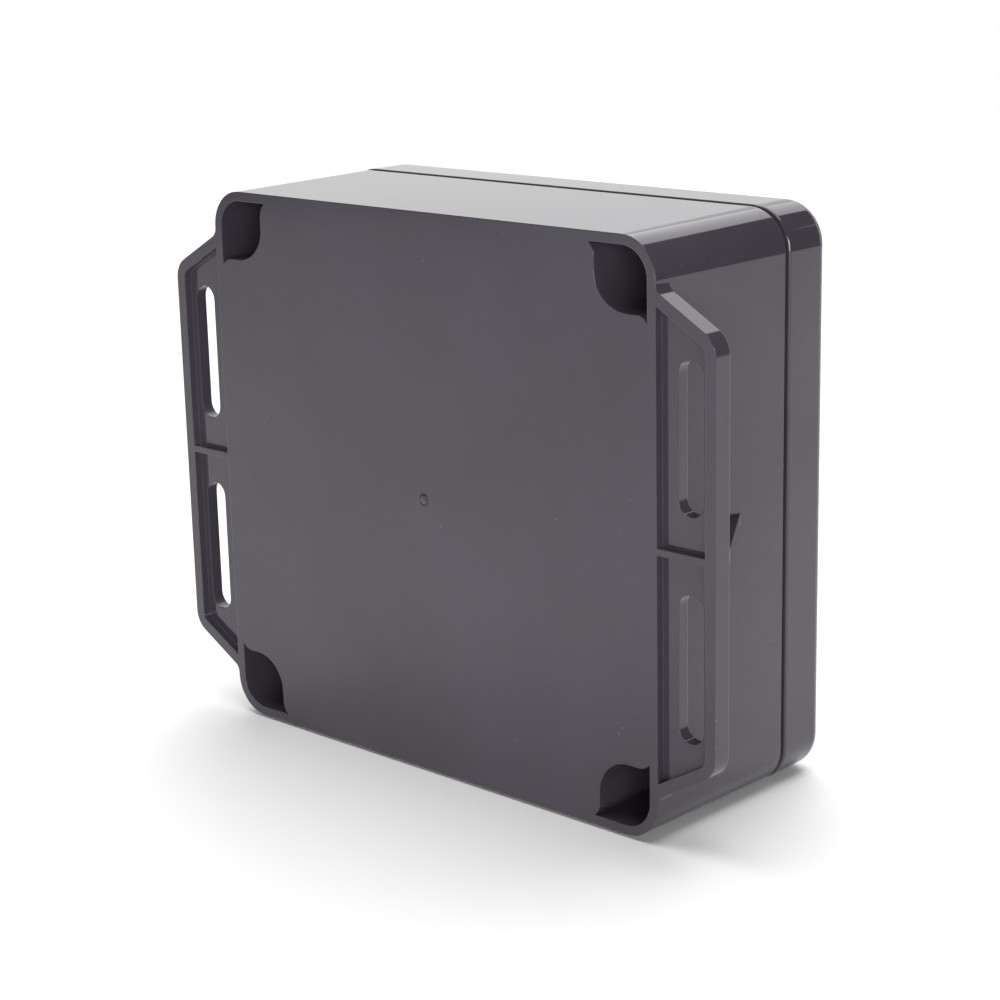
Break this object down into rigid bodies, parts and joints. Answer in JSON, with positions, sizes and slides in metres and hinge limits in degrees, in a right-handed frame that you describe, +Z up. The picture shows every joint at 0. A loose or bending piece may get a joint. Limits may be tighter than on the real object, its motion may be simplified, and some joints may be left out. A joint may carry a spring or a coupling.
{
  "type": "mesh wifi node",
  "caption": "Sealed wall-mount mesh wifi node: dark flanged plastic case with slotted side ears, rear lid screws, gasketed front lid and internal radio board.",
  "frame": {"origin": "centre of the flat back face that meets the wall", "axes": "+Z up, +Y out of the back face into the wall, lid faces -Y, +X to the left side as seen from behind"},
  "size_m": [0.1496, 0.0536, 0.1196],
  "materials": {
    "case_plastic": "moulded, satin gloss",
    "lid_plastic": "moulded, satin gloss",
    "seal_rubber": "soft silicone",
    "clear_plastic": "clear moulded plastic",
    "screw_steel": "bright zinc",
    "insert_brass": "turned",
    "board_laminate": "solder mask",
    "chip_black": "moulded epoxy",
    "soft_pad": "soft gap filler",
    "sink_aluminium": "clear anodised",
    "tinned_steel": "tin plated",
    "gold_contact": "gold plated",
    "transformer_tape": "polyester tape",
    "capacitor_can": "drawn can",
    "ferrite": "sintered",
    "ceramic": "fired ceramic",
    "crystal_can": "seam-welded lid",
    "led_lens": "translucent resin",
    "grommet_rubber": "moulded",
    "vent_plastic": "moulded",
    "membrane": "porous film",
    "switch_black": "moulded",
    "plunger_white": "moulded",
    "foam_tape": "foam",
    "antenna_laminate": "solder mask",
    "copper": "etched, lacquered",
    "coax_jacket": "extruded"
  },
  "bodies": {
    "housing": {"rear_housing": "case_plastic", "lid_screws": "screw_steel", "screw_washers": "seal_rubber", "main_board": "board_laminate", "board_screws": "screw_steel", "wifi_processor": "chip_black", "thermal_pad": "soft_pad", "heat_sink": "sink_aluminium", "memory_chip": "chip_black", "flash_chip": "chip_black", "clock_crystal": "crystal_can", "ethernet_jack": "tinned_steel", "jack_contacts": "gold_contact", "lan_transformer": "chip_black", "power_transformer": "transformer_tape", "power_capacitors": "capacitor_can", "power_inductor": "ferrite", "chip_passives": "ceramic", "status_led": "led_lens", "cable_grommet": "grommet_rubber", "vent_plug": "vent_plastic", "vent_membrane": "membrane", "reset_switch": "switch_black", "pairing_switch": "switch_black", "radio_shield_left": "tinned_steel", "radio_chip_left": "chip_black", "adhesive_strip_left": "foam_tape", "antenna_board_left": "antenna_laminate", "antenna_element_left": "copper", "coax_lead_left": "coax_jacket", "coax_plug_left": "gold_contact", "radio_shield_right": "tinned_steel", "radio_chip_right": "chip_black", "adhesive_strip_right": "foam_tape", "antenna_board_right": "antenna_laminate", "antenna_element_right": "copper", "coax_lead_right": "coax_jacket", "coax_plug_right": "gold_contact"},
    "lid": {"front_lid": "lid_plastic", "lid_gasket": "seal_rubber", "light_pipe": "clear_plastic", "lid_inserts": "insert_brass"},
    "reset_button": {"reset_plunger": "plunger_white"},
    "pairing_button": {"pairing_plunger": "plunger_white"}
  },
  "joints": [
    {"name": "lid_lift", "type": "slide", "parent": "housing", "child": "lid", "axis": [0, -1, 0], "range_m": [0, 0.06]},
    {"name": "reset_press", "type": "slide", "parent": "housing", "child": "reset_button", "axis": [0, 1, 0], "range_m": [0, 0.00025], "stiffness_N_per_m": 800, "springref_m": -0.0005},
    {"name": "pairing_press", "type": "slide", "parent": "housing", "child": "pairing_button", "axis": [0, 1, 0], "range_m": [0, 0.00025], "stiffness_N_per_m": 800, "springref_m": -0.0005}
  ]
}
